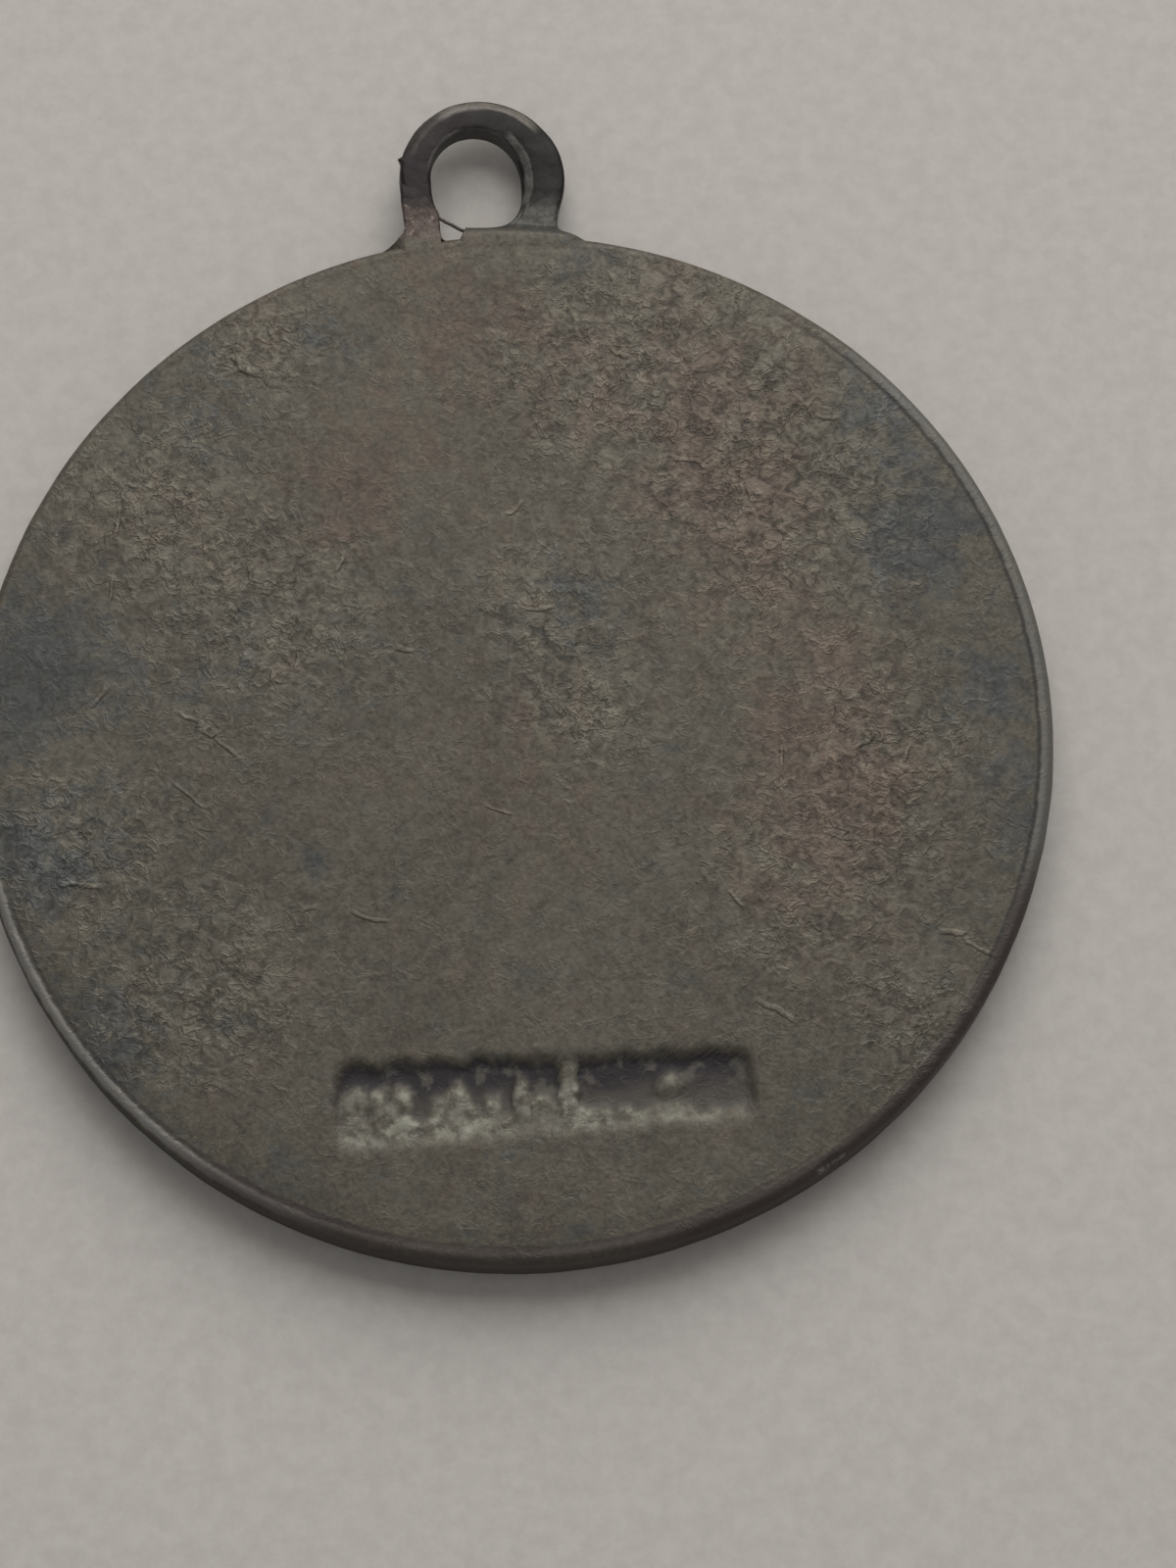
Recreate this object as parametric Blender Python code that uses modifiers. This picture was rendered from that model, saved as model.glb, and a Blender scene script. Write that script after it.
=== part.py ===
"""Small struck award medal: a solid disc with a soldered eyelet, lying on its obverse.

Metres, +Z up through the reverse (back), +Y towards the eyelet. The origin is under the
middle of the whole medal, on the plane that the obverse's rim rests on.
"""

import math

import bmesh
import bpy
from mathutils import Matrix

MM = 0.001

# The struck disc.
DISC_RADIUS = 15.0 * MM
DISC_THICKNESS = 1.7 * MM
EDGE_ROUND = 0.35 * MM
DISC_STEPS = 96

# The obverse: a raised rim that the medal rests on, a sunk field, and a plain raised panel
# inside a wreath band.
RIM_WIDTH = 1.0 * MM
RIM_SLOPE = 0.2 * MM
FIELD_DEPTH = 0.28 * MM
WREATH_INNER = 8.6 * MM
WREATH_OUTER = 12.4 * MM
WREATH_HEIGHT = 0.16 * MM
WREATH_POINTS = 7
PANEL_RADIUS = 7.4 * MM
PANEL_HEIGHT = 0.1 * MM

# The maker's cartouche, punched into the reverse, with a generic row of raised lozenges.
CARTOUCHE_LENGTH = 11.2 * MM
CARTOUCHE_WIDTH = 1.95 * MM
CARTOUCHE_DEPTH = 0.22 * MM
CARTOUCHE_BELOW_CENTRE = 10.4 * MM
CARTOUCHE_SHIFT = 0.3 * MM
CARTOUCHE_CORNER = 0.58 * MM
LOZENGE_COUNT = 7
LOZENGE_LENGTH = 1.2 * MM
LOZENGE_WIDTH = 1.0 * MM
LOZENGE_PITCH = 1.5 * MM
LOZENGE_TOP_SHARE = 0.8
LOZENGE_BELOW_FACE = 0.04 * MM

# The eyelet: a flat oval ring, taller than wide, whose foot is filed to the disc's edge. It
# stands nearer the reverse than the obverse, and its hole is off its centre, left and down.
EYELET_ABOVE_CENTRE = 17.0 * MM
EYELET_HALF_WIDTH = 2.42 * MM
EYELET_HALF_HEIGHT = 2.5 * MM
EYELET_THICKNESS = 0.7 * MM
EYELET_BELOW_REVERSE = 0.35 * MM
EYELET_ROUND = 0.18 * MM
EYELET_TWIST = math.radians(6)
HOLE_HALF_WIDTH = 1.34 * MM
HOLE_HALF_HEIGHT = 1.54 * MM
HOLE_SHIFT = -0.18 * MM
HOLE_DROP = 0.09 * MM
RING_STEPS = 48
FOOT_STEPS = 384

# The solder on each side of the ring: how far out it starts on the ring's side, how far out
# its foot stands, and the small concave fillet that ends it on the disc's edge. The fillet
# stops some degrees short of its end, so that its tip isn't a knife edge.
LEFT_SOLDER = (2.28 * MM, 2.25 * MM, 0.3 * MM)
RIGHT_SOLDER = (2.19 * MM, 2.33 * MM, 0.25 * MM)
SOLDER_THICKNESS = 0.66 * MM
FILLET_TIP_CUT = 12
JOINT_GAP = 0.05 * MM

# The void that the solder left open under the ring's left leg, as corners measured from the
# ring's centre. Its slanting top leaves a thin strand between it and the hole.
VOID_CORNERS = (
    (-1.31 * MM, -1.0 * MM),
    (-1.31 * MM, -2.2 * MM),
    (-0.64 * MM, -2.2 * MM),
    (-0.64 * MM, -1.68 * MM),
)

# Worked out from the dimensions above.
LENGTH = DISC_RADIUS + EYELET_ABOVE_CENTRE + EYELET_HALF_HEIGHT
DISC_Y = DISC_RADIUS - LENGTH / 2
EYELET_Y = DISC_Y + EYELET_ABOVE_CENTRE
EYELET_Z = DISC_THICKNESS - EYELET_BELOW_REVERSE - EYELET_THICKNESS / 2
CUTTER_SPARE = 1.0 * MM
ARC_POINTS = 6


def clear_scene():
    for obj in list(bpy.data.objects):
        bpy.data.objects.remove(obj, do_unlink=True)


def new_collection(name, hidden):
    collection = bpy.data.collections.new(name)
    bpy.context.scene.collection.children.link(collection)
    collection.hide_render = hidden
    return collection


def metal(name, colour, roughness):
    material = bpy.data.materials.new(name)
    material.use_nodes = True
    shader = material.node_tree.nodes["Principled BSDF"]
    shader.inputs["Base Color"].default_value = (*colour, 1.0)
    shader.inputs["Roughness"].default_value = roughness
    shader.inputs["Metallic"].default_value = 1.0
    return material


def add_object(name, mesh, collection, material=None):
    obj = bpy.data.objects.new(name, mesh)
    collection.objects.link(obj)
    if material:
        mesh.materials.append(material)
    return obj


def as_cutter(obj):
    obj.hide_render = True
    obj.display_type = "WIRE"
    return obj


def arc(centre, radius, start, end, points=ARC_POINTS):
    """Points along an arc, from the start angle to the end angle in degrees."""
    step = (end - start) / (points - 1)
    angles = [math.radians(start + step * i) for i in range(points)]
    return [(centre[0] + radius * math.cos(a), centre[1] + radius * math.sin(a)) for a in angles]


def turned(name, profile, steps, collection, material=None):
    """A solid of revolution about Z. The profile's (radius, height) points run top to bottom."""
    mesh = bpy.data.meshes.new(name)
    edges = [(i, i + 1) for i in range(len(profile) - 1)]
    mesh.from_pydata([(r, 0, z) for r, z in profile], edges, [])
    obj = add_object(name, mesh, collection, material)
    screw = obj.modifiers.new("Turn", "SCREW")
    screw.steps = steps
    screw.render_steps = steps
    screw.use_merge_vertices = True
    screw.merge_threshold = 1e-6
    screw.use_smooth_shade = True
    return obj


def boolean(obj, other, operation):
    modifier = obj.modifiers.new(operation.title() + " " + other.name, "BOOLEAN")
    modifier.operation = operation
    modifier.object = other
    modifier.solver = "EXACT"


def extruded(name, outline, thickness, collection, material=None):
    """A flat outline in the XY plane, extruded to both sides and made a closed mesh."""
    curve = bpy.data.curves.new(name, "CURVE")
    curve.dimensions = "2D"
    curve.fill_mode = "BOTH"
    curve.extrude = thickness / 2
    spline = curve.splines.new("POLY")
    spline.points.add(len(outline) - 1)
    for point, (x, y) in zip(spline.points, outline):
        point.co = (x, y, 0, 1)
    spline.use_cyclic_u = True
    source = bpy.data.objects.new(name + "_outline", curve)
    collection.objects.link(source)
    bpy.context.view_layer.update()
    graph = bpy.context.evaluated_depsgraph_get()
    mesh = bpy.data.meshes.new_from_object(source.evaluated_get(graph))
    bpy.data.objects.remove(source, do_unlink=True)
    shape = bmesh.new()
    shape.from_mesh(mesh)
    bmesh.ops.remove_doubles(shape, verts=shape.verts, dist=1e-7)
    bmesh.ops.recalc_face_normals(shape, faces=shape.faces)
    shape.to_mesh(mesh)
    shape.free()
    return add_object(name, mesh, collection, material)


def disc_profile():
    """Down the reverse, round the edge, and back in along the obverse to the axis."""
    corner = DISC_RADIUS - EDGE_ROUND
    rim_inner = DISC_RADIUS - RIM_WIDTH
    wreath_middle = (WREATH_INNER + WREATH_OUTER) / 2
    wreath_half = (WREATH_OUTER - WREATH_INNER) / 2
    field = FIELD_DEPTH
    profile = [(0, DISC_THICKNESS)]
    profile += arc((corner, DISC_THICKNESS - EDGE_ROUND), EDGE_ROUND, 90, 0)
    profile += arc((corner, EDGE_ROUND), EDGE_ROUND, 0, -90)
    profile += [(rim_inner, 0), (rim_inner - RIM_SLOPE, field)]
    for i in range(WREATH_POINTS):
        across = 1 - 2 * i / (WREATH_POINTS - 1)
        height = WREATH_HEIGHT * math.cos(across * math.pi / 2)
        profile.append((wreath_middle + wreath_half * across, field - height))
    profile += [(PANEL_RADIUS + PANEL_HEIGHT, field), (PANEL_RADIUS, field - PANEL_HEIGHT)]
    profile += [(0, field - PANEL_HEIGHT)]
    return profile


def cartouche_cutter(collection):
    """A rounded bar that sinks into the reverse."""
    corner = CARTOUCHE_CORNER
    half_x = CARTOUCHE_LENGTH / 2 - corner
    half_y = CARTOUCHE_WIDTH / 2 - corner
    outline = arc((half_x, half_y), corner, 0, 90, 4)
    outline += arc((-half_x, half_y), corner, 90, 180, 4)
    outline += arc((-half_x, -half_y), corner, 180, 270, 4)
    outline += arc((half_x, -half_y), corner, 270, 360, 4)
    height = CARTOUCHE_DEPTH + CUTTER_SPARE
    cutter = extruded("cartouche_cutter", outline, height, collection)
    floor = DISC_THICKNESS - CARTOUCHE_DEPTH
    cutter.location = (CARTOUCHE_SHIFT, DISC_Y - CARTOUCHE_BELOW_CENTRE, floor + height / 2)
    return as_cutter(cutter)


def lozenges(collection):
    """The row of raised lozenges that stand on the cartouche's floor."""
    height = 2 * CARTOUCHE_DEPTH - LOZENGE_BELOW_FACE
    middle = DISC_THICKNESS - LOZENGE_BELOW_FACE - height / 2
    shape = bmesh.new()
    for i in range(LOZENGE_COUNT):
        x = CARTOUCHE_SHIFT + (i - (LOZENGE_COUNT - 1) / 2) * LOZENGE_PITCH
        place = Matrix.Translation((x, DISC_Y - CARTOUCHE_BELOW_CENTRE, middle))
        size = Matrix.Diagonal((LOZENGE_LENGTH / 2, LOZENGE_WIDTH / 2, height, 1))
        bmesh.ops.create_cone(
            shape,
            cap_ends=True,
            segments=4,
            radius1=1,
            radius2=LOZENGE_TOP_SHARE,
            depth=1,
            matrix=place @ size,
        )
    mesh = bpy.data.meshes.new("lozenges")
    shape.to_mesh(mesh)
    shape.free()
    return as_cutter(add_object("lozenges", mesh, collection))


def make_disc(parts, cutters, material):
    disc = turned("medal_disc", disc_profile(), DISC_STEPS, parts, material)
    disc.location = (0, DISC_Y, 0)
    boolean(disc, cartouche_cutter(cutters), "DIFFERENCE")
    boolean(disc, lozenges(cutters), "UNION")
    return disc


def eyelet_profile():
    half = EYELET_THICKNESS / 2
    corner = EYELET_HALF_WIDTH - EYELET_ROUND
    profile = [(0, half)]
    profile += arc((corner, half - EYELET_ROUND), EYELET_ROUND, 90, 0, 4)
    profile += arc((corner, EYELET_ROUND - half), EYELET_ROUND, 0, -90, 4)
    return profile + [(0, -half)]


def hole_profile():
    """The hole's own shape, flared at both mouths so that the ring's inner edges come out rounded."""
    half = EYELET_THICKNESS / 2
    mouth = HOLE_HALF_WIDTH + EYELET_ROUND
    profile = [(0, half + CUTTER_SPARE), (mouth, half + CUTTER_SPARE)]
    profile += arc((mouth, half - EYELET_ROUND), EYELET_ROUND, 90, 180, 4)
    profile += arc((mouth, EYELET_ROUND - half), EYELET_ROUND, 180, 270, 4)
    return profile + [(mouth, -half - CUTTER_SPARE), (0, -half - CUTTER_SPARE)]


def rim_cutter(collection):
    """The disc's outline grown by the joint's gap: it files the ring's foot."""
    radius = DISC_RADIUS + JOINT_GAP
    top = EYELET_Z + EYELET_HALF_WIDTH
    bottom = EYELET_Z - EYELET_HALF_WIDTH
    profile = [(0, top), (radius, top), (radius, bottom), (0, bottom)]
    cutter = turned("rim_cutter", profile, FOOT_STEPS, collection)
    cutter.location = (0, DISC_Y, 0)
    return as_cutter(cutter)


def void_cutter(collection):
    cutter = extruded("void_cutter", VOID_CORNERS, EYELET_HALF_WIDTH * 2, collection)
    cutter.location = (0, EYELET_Y, EYELET_Z)
    return as_cutter(cutter)


def make_eyelet(parts, cutters, material):
    eyelet = turned("suspension_eyelet", eyelet_profile(), RING_STEPS, parts, material)
    eyelet.location = (0, EYELET_Y, EYELET_Z)
    eyelet.rotation_euler = (0, EYELET_TWIST, 0)
    eyelet.scale = (1, EYELET_HALF_HEIGHT / EYELET_HALF_WIDTH, 1)
    hole = as_cutter(turned("hole_cutter", hole_profile(), RING_STEPS, cutters))
    hole.location = (HOLE_SHIFT, EYELET_Y - HOLE_DROP, EYELET_Z)
    hole.rotation_euler = (0, EYELET_TWIST, 0)
    hole.scale = (1, HOLE_HALF_HEIGHT / HOLE_HALF_WIDTH, 1)
    boolean(eyelet, hole, "DIFFERENCE")
    boolean(eyelet, rim_cutter(cutters), "DIFFERENCE")
    boolean(eyelet, void_cutter(cutters), "DIFFERENCE")
    return eyelet


def ring_side(angle, gap):
    """A point on the ring's oval outline, grown by a gap, from the ring's centre. Degrees."""
    turn = math.radians(angle)
    return ((EYELET_HALF_WIDTH + gap) * math.cos(turn), (EYELET_HALF_HEIGHT + gap) * math.sin(turn))


def rim_angle(point):
    """The angle of a point, given from the ring's centre, as seen from the disc's centre. Degrees."""
    return math.degrees(math.atan2(point[1] + EYELET_ABOVE_CENTRE, point[0]))


def solder_outline(shoulder, foot, fillet):
    """The solder beside the ring's +X leg, seen from above, from the ring's centre.

    It leaves the ring's side at the shoulder, runs straight down to the foot, and ends in a
    small concave fillet on the disc's edge. The ring and the disc are held off by the gap.
    """
    disc_centre = (0, -EYELET_ABOVE_CENTRE)
    disc_side = DISC_RADIUS + JOINT_GAP
    top = -math.degrees(math.acos(shoulder / (EYELET_HALF_WIDTH + JOINT_GAP)))
    centre_x = foot + fillet
    centre_y = math.sqrt((disc_side + fillet) ** 2 - centre_x**2) - EYELET_ABOVE_CENTRE
    landing = math.degrees(math.atan2(centre_y + EYELET_ABOVE_CENTRE, centre_x)) + 180
    concave = arc((centre_x, centre_y), fillet, 180, landing - FILLET_TIP_CUT)
    below = range(-89, 0)
    bottom = next(a for a in below if math.dist(ring_side(a, JOINT_GAP), disc_centre) > disc_side)
    step = (top - bottom) / (ARC_POINTS - 1)
    along_ring = [ring_side(bottom + step * i, JOINT_GAP) for i in range(ARC_POINTS)]
    along_rim = arc(disc_centre, disc_side, rim_angle(concave[-1]), rim_angle(along_ring[0]))
    return [along_ring[-1]] + concave + along_rim + along_ring[1:-1]


def make_solder(name, sizes, side, parts, material):
    """The left leg (side -1) is twisted up towards the reverse, the right one (side 1) down."""
    outline = [(side * x, y) for x, y in solder_outline(*sizes)]
    solder = extruded(name, outline, SOLDER_THICKNESS, parts, material)
    solder.location = (0, EYELET_Y, EYELET_Z - side * EYELET_HALF_WIDTH * math.sin(EYELET_TWIST))
    return solder


def main():
    clear_scene()
    parts = new_collection("Medal", hidden=False)
    cutters = new_collection("Cutters", hidden=True)
    bronze = metal("dark_patina_bronze", (0.11, 0.10, 0.085), 0.55)
    ring_metal = metal("blackened_ring", (0.05, 0.045, 0.045), 0.42)
    solder = metal("tarnished_solder", (0.12, 0.10, 0.085), 0.6)
    make_disc(parts, cutters, bronze)
    make_eyelet(parts, cutters, ring_metal)
    make_solder("solder_fillet_left", LEFT_SOLDER, -1, parts, solder)
    make_solder("solder_fillet_right", RIGHT_SOLDER, 1, parts, solder)


main()
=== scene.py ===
"""The looks of the small struck medal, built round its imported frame.

The medal lies on its obverse. Lengths are in millimetres until a mesh is finished, and each
piece's own middle (the disc's or the ring's centre) is its zero while its shape is worked out.
"""

import math

import bpy
import numpy as np
from mathutils import Matrix, Quaternion, Vector, noise


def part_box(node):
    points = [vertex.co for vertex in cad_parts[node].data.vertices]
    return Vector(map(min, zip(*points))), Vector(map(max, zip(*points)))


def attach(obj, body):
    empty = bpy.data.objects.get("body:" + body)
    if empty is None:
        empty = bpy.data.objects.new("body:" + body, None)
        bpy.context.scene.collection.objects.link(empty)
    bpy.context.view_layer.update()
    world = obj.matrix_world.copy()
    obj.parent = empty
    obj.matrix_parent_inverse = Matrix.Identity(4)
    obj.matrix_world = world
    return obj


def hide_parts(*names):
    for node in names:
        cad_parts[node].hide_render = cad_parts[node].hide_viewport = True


MM = 0.001

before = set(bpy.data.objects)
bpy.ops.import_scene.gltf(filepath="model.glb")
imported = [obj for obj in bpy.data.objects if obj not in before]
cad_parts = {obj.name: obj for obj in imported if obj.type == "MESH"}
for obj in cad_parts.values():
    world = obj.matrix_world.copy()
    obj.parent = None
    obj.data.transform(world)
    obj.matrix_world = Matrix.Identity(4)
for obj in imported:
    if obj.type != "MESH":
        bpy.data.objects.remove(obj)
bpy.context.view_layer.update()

# Sizes that the frame gives.
disc_low, disc_high = (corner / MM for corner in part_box("medal_disc"))
ring_low, ring_high = (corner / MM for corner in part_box("suspension_eyelet"))
RADIUS = (disc_high.x - disc_low.x) / 2
THICKNESS = disc_high.z - disc_low.z
DISC_Y = (disc_high.y + disc_low.y) / 2
MIDDLE_Z = THICKNESS / 2
RING_Z = (ring_high.z + ring_low.z) / 2

# The struck disc.
EDGE_ROUND = 0.35
FACE_RADIUS = RADIUS - EDGE_ROUND
DISC_RINGS = 104
WALL_RINGS = 2

# The maker's cartouche, sunk in the reverse: its middle, half sizes, corner and depth. Shapeless worn
# lumps fill its lower half: how many, how far apart, and where a bar parts them from a barer end.
CARTOUCHE = (0.3, -10.4)
CARTOUCHE_HALF_LENGTH = 5.6
CARTOUCHE_HALF_WIDTH = 0.98
CARTOUCHE_CORNER = 0.5
CARTOUCHE_DEPTH = 0.21
MARK_COUNT = 15
MARK_PITCH = 0.74
BREAK_BAR = 0.65

# The obverse: a raised rim, a sunk field, a laurel wreath and a blank panel.
RIM_WIDTH = 1.0
FIELD_DEPTH = 0.28
PANEL_RADIUS = 7.4
WREATH_RADIUS = 10.5
WREATH_TRIOS = 13
BEAD_COUNT = 120

# The eyelet, from its own centre. Its hole lies off that centre, and is squarer in its lower half.
RING_SHIFT = -0.05
RING_HALF_WIDTH = 2.41
RING_HALF_HEIGHT = 2.48
RING_Y = ring_high.y - 0.02 - RING_HALF_HEIGHT
HOLE = (-0.18, -0.09)
HOLE_HALF_WIDTH = 1.34
HOLE_HALF_HEIGHT = 1.54
HOLE_SQUARENESS = 2.8
HOLE_SAG = 0.06
RING_THICKNESS = 0.7
RING_TWIST = math.radians(6)
RING_TURNS = 300
RING_SIDES = 52
RING_ROUNDNESS = 0.32

# The void under the ring's left leg: its side, its depth, and the headings from the ring's middle
# between which it opens.
VOID_SIDE = 1.32
VOID_REACH = 2.44
VOID_START = 200
VOID_END = 251

# The burr on the ring's left: its heading and how far it sticks out.
BURR_TURN = 167
BURR_LENGTH = 0.12

# The camera: its tilt, its distance from the disc's middle, what it aims at beside that, and its roll.
CAMERA_TILT = math.radians(17.7)
CAMERA_DISTANCE = 100
CAMERA_AIM = (2.01, -1.27)
CAMERA_ROLL = math.radians(0.7)
CAMERA_LENS = 82.34

# The light: the window's place, size and watts, and how bright the room is.
WINDOW_PLACE = (55, 285, 275)
WINDOW_SIZE = 420
WINDOW_WATTS = 1.3
WINDOW_COLOUR = (1.0, 0.975, 0.95)
ROOM_COLOUR = (1.0, 0.98, 0.96, 1)
ROOM_STRENGTH = 0.25
PAPER_DARK = (0.585, 0.56, 0.53)
PAPER_PALE = (0.66, 0.635, 0.60)

# The patina's own colours, those of what shows in or on it, and painted light and shade on it.
BRONZE = (0.119, 0.109, 0.087)
WARM_BRONZE = (0.130, 0.103, 0.083)
COOL_BRONZE = (0.081, 0.085, 0.084)
SPECK = (0.215, 0.20, 0.15)
# The cartouche's floor: pale where lit, and darker towards its upper wall with painted shade and dirt.
SUNK_PALE_LIT = (0.090, 0.084, 0.074)
SUNK_DIRT_AND_SHADE = (0.036, 0.032, 0.036)
SUNK_DUST = (0.10, 0.094, 0.082)
CRUST_DARK = (0.23, 0.225, 0.19)
CRUST_PALE = (0.32, 0.32, 0.265)
# Painted shade on the disc's side wall.
EDGE_WALL_SHADE = (0.055, 0.048, 0.048)
CHIPPED = (0.24, 0.24, 0.23)
METALLIC = 0.55
BUMP_ON_DISC = 0.07
BUMP_ON_JOINT = 0.075

# The nick in the disc's edge, from the disc's middle, and the heading of its chips.
NICK = (7.85, -12.65)
NICK_TURN = 301.8


# ---------------------------------------------------------------- helpers for shapes

def ease(low, high, value):
    """0 below low and 1 above high, with a smooth step between them."""
    share = np.clip((value - low) / (high - low), 0, 1)
    return share * share * (3 - 2 * share)


def lump(x, y, centre, size):
    """A round bump, 1 at its centre, that fades out over about twice its size."""
    return np.exp(-((x - centre[0]) ** 2 + (y - centre[1]) ** 2) / size**2)


def wander(x, y, size, seed):
    """Smooth noise from -1 to 1, with lumps about size across."""
    values = [noise.noise(Vector((a / size, b / size, seed))) for a, b in zip(x.flat, y.flat)]
    return np.array(values).reshape(x.shape)


def set_attribute(mesh, name, values):
    attribute = mesh.attributes.new(name, "FLOAT", "POINT")
    attribute.data.foreach_set("value", np.asarray(values, np.float32).ravel())


def finish_piece(name, mesh, material, node):
    """Places a mesh made in millimetres, and lets it stand for a CAD node."""
    mesh.transform(Matrix.Scale(MM, 4))
    mesh.shade_smooth()
    mesh.materials.append(material)
    piece = bpy.data.objects.new(name, mesh)
    bpy.context.scene.collection.objects.link(piece)
    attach(piece, "root")
    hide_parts(node)
    return piece


# ---------------------------------------------------------------- helpers for materials

class Shader:
    """Builds one material. A value may be a socket, a number or a colour."""

    def __init__(self, name, metallic):
        self.material = bpy.data.materials.new(name)
        self.material.use_nodes = True
        self.tree = self.material.node_tree
        self.surface = self.tree.nodes["Principled BSDF"]
        self.surface.inputs["Metallic"].default_value = metallic
        coordinates = self.tree.nodes.new("ShaderNodeTexCoord").outputs["Object"]
        self.place = self.vector("SCALE", coordinates, scale=1 / MM)

    def put(self, socket, value):
        if isinstance(value, bpy.types.NodeSocket):
            self.tree.links.new(value, socket)
        elif hasattr(value, "__len__") and len(socket.default_value) == 4:
            socket.default_value = (*value, 1)
        else:
            socket.default_value = value

    def math(self, operation, a, b=0.0, c=0.0):
        node = self.tree.nodes.new("ShaderNodeMath")
        node.operation = operation
        for socket, value in zip(node.inputs, (a, b, c)):
            self.put(socket, value)
        return node.outputs[0]

    def vector(self, operation, a, b=(0, 0, 0), scale=1.0):
        node = self.tree.nodes.new("ShaderNodeVectorMath")
        node.operation = operation
        for number, value in ((0, a), (1, b), (3, scale)):
            self.put(node.inputs[number], value)
        return node.outputs["Value" if operation in ("LENGTH", "DOT_PRODUCT") else "Vector"]

    def noise(self, scale, detail=2.0, roughness=0.5, distortion=0.0):
        node = self.tree.nodes.new("ShaderNodeTexNoise")
        self.put(node.inputs["Vector"], self.place)
        self.put(node.inputs["Scale"], scale)
        self.put(node.inputs["Detail"], detail)
        self.put(node.inputs["Roughness"], roughness)
        self.put(node.inputs["Distortion"], distortion)
        return node.outputs["Fac"]

    def ramp(self, value, low, high, start=0.0, end=1.0):
        """start where value is below low, end where it is above high, smooth between."""
        node = self.tree.nodes.new("ShaderNodeMapRange")
        node.interpolation_type = "SMOOTHSTEP"
        self.put(node.inputs["Value"], value)
        self.put(node.inputs["From Min"], low)
        self.put(node.inputs["From Max"], high)
        self.put(node.inputs["To Min"], start)
        self.put(node.inputs["To Max"], end)
        return node.outputs["Result"]

    def mix(self, share, a, b, blend="MIX"):
        node = self.tree.nodes.new("ShaderNodeMix")
        node.data_type = "RGBA"
        node.blend_type = blend
        self.put(node.inputs["Factor"], share)
        self.put(node.inputs[6], a)
        self.put(node.inputs[7], b)
        return node.outputs[2]

    def axis(self, place, name):
        """The X, Y or Z of a vector."""
        node = self.tree.nodes.new("ShaderNodeSeparateXYZ")
        self.put(node.inputs[0], place)
        return node.outputs[name]

    def from_disc_middle(self):
        """Where a point lies from the disc's middle, seen from above."""
        return self.vector("SUBTRACT", self.vector("MULTIPLY", self.place, (1, 1, 0)), (0, DISC_Y, 0))

    def attribute(self, name):
        node = self.tree.nodes.new("ShaderNodeAttribute")
        node.attribute_name = name
        return node.outputs["Fac"]

    def sector(self, offset, angle, half_angle):
        """1 where offset points within half_angle of angle, fading out by the ends. Degrees."""
        towards = (math.cos(math.radians(angle)), math.sin(math.radians(angle)), 0)
        facing = self.vector("DOT_PRODUCT", self.vector("NORMALIZE", offset), towards)
        outer, inner = (math.cos(math.radians(half_angle * share)) for share in (1, 0.7))
        return self.ramp(facing, outer, inner)

    def band(self, value, low, high, soft):
        """1 where value is between low and high."""
        above = self.ramp(value, low - soft, low + soft)
        below = self.ramp(value, high - soft, high + soft, 1, 0)
        return self.math("MULTIPLY", above, below)

    def product(self, *factors):
        result = factors[0]
        for factor in factors[1:]:
            result = self.math("MULTIPLY", result, factor)
        return result

    def bump(self, height, depth):
        """Relief of this depth in millimetres, where height runs from 0 to 1."""
        node = self.tree.nodes.new("ShaderNodeBump")
        node.inputs["Strength"].default_value = 1.0
        node.inputs["Distance"].default_value = depth * MM
        self.put(node.inputs["Height"], height)
        self.put(self.surface.inputs["Normal"], node.outputs["Normal"])


# ---------------------------------------------------------------- camera, light and floor

def make_camera():
    """A close view from above, tilted a little towards the medal's foot."""
    camera = bpy.data.objects.new("camera", bpy.data.cameras.new("camera"))
    bpy.context.scene.collection.objects.link(camera)
    middle = Vector((0, DISC_Y, MIDDLE_Z))
    location = middle + CAMERA_DISTANCE * Vector((0, -math.sin(CAMERA_TILT), math.cos(CAMERA_TILT)))
    aim = Vector((CAMERA_AIM[0], DISC_Y + CAMERA_AIM[1], 0))
    roll = Quaternion((0, 0, 1), CAMERA_ROLL)
    camera.location = location * MM
    camera.rotation_mode = "QUATERNION"
    camera.rotation_quaternion = (aim - location).to_track_quat("-Z", "Y") @ roll
    camera.data.lens = CAMERA_LENS
    camera.data.clip_start = 0.001
    camera.data.clip_end = 10
    bpy.context.scene.camera = camera


def make_light():
    """A broad square light beyond the eyelet that faces the medal, and even light from all round."""
    light = bpy.data.lights.new("window", "AREA")
    light.size = WINDOW_SIZE * MM
    light.energy = WINDOW_WATTS
    light.color = WINDOW_COLOUR
    lamp = bpy.data.objects.new("window", light)
    lamp.location = Vector(WINDOW_PLACE) * MM
    lamp.rotation_euler = (-lamp.location).to_track_quat("-Z", "Y").to_euler()
    bpy.context.scene.collection.objects.link(lamp)
    world = bpy.data.worlds.new("world")
    world.use_nodes = True
    background = world.node_tree.nodes["Background"]
    background.inputs["Color"].default_value = ROOM_COLOUR
    background.inputs["Strength"].default_value = ROOM_STRENGTH
    bpy.context.scene.world = world
    bpy.context.scene.view_settings.view_transform = "Standard"


def make_floor():
    """A plain sheet of pale paper."""
    half = 1500 * MM
    mesh = bpy.data.meshes.new("floor")
    mesh.from_pydata([(-half, -half, 0), (half, -half, 0), (half, half, 0), (-half, half, 0)],
                     [], [(0, 1, 2, 3)])
    floor = bpy.data.objects.new("floor", mesh)
    bpy.context.scene.collection.objects.link(floor)
    paper = Shader("paper", 0)
    grain = paper.ramp(paper.noise(1.6, 6, 0.75), 0.3, 0.7)
    paper.put(paper.surface.inputs["Base Color"], paper.mix(grain, PAPER_DARK, PAPER_PALE))
    paper.surface.inputs["Roughness"].default_value = 0.9
    mesh.materials.append(paper.material)


# ---------------------------------------------------------------- the disc's shape

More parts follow.
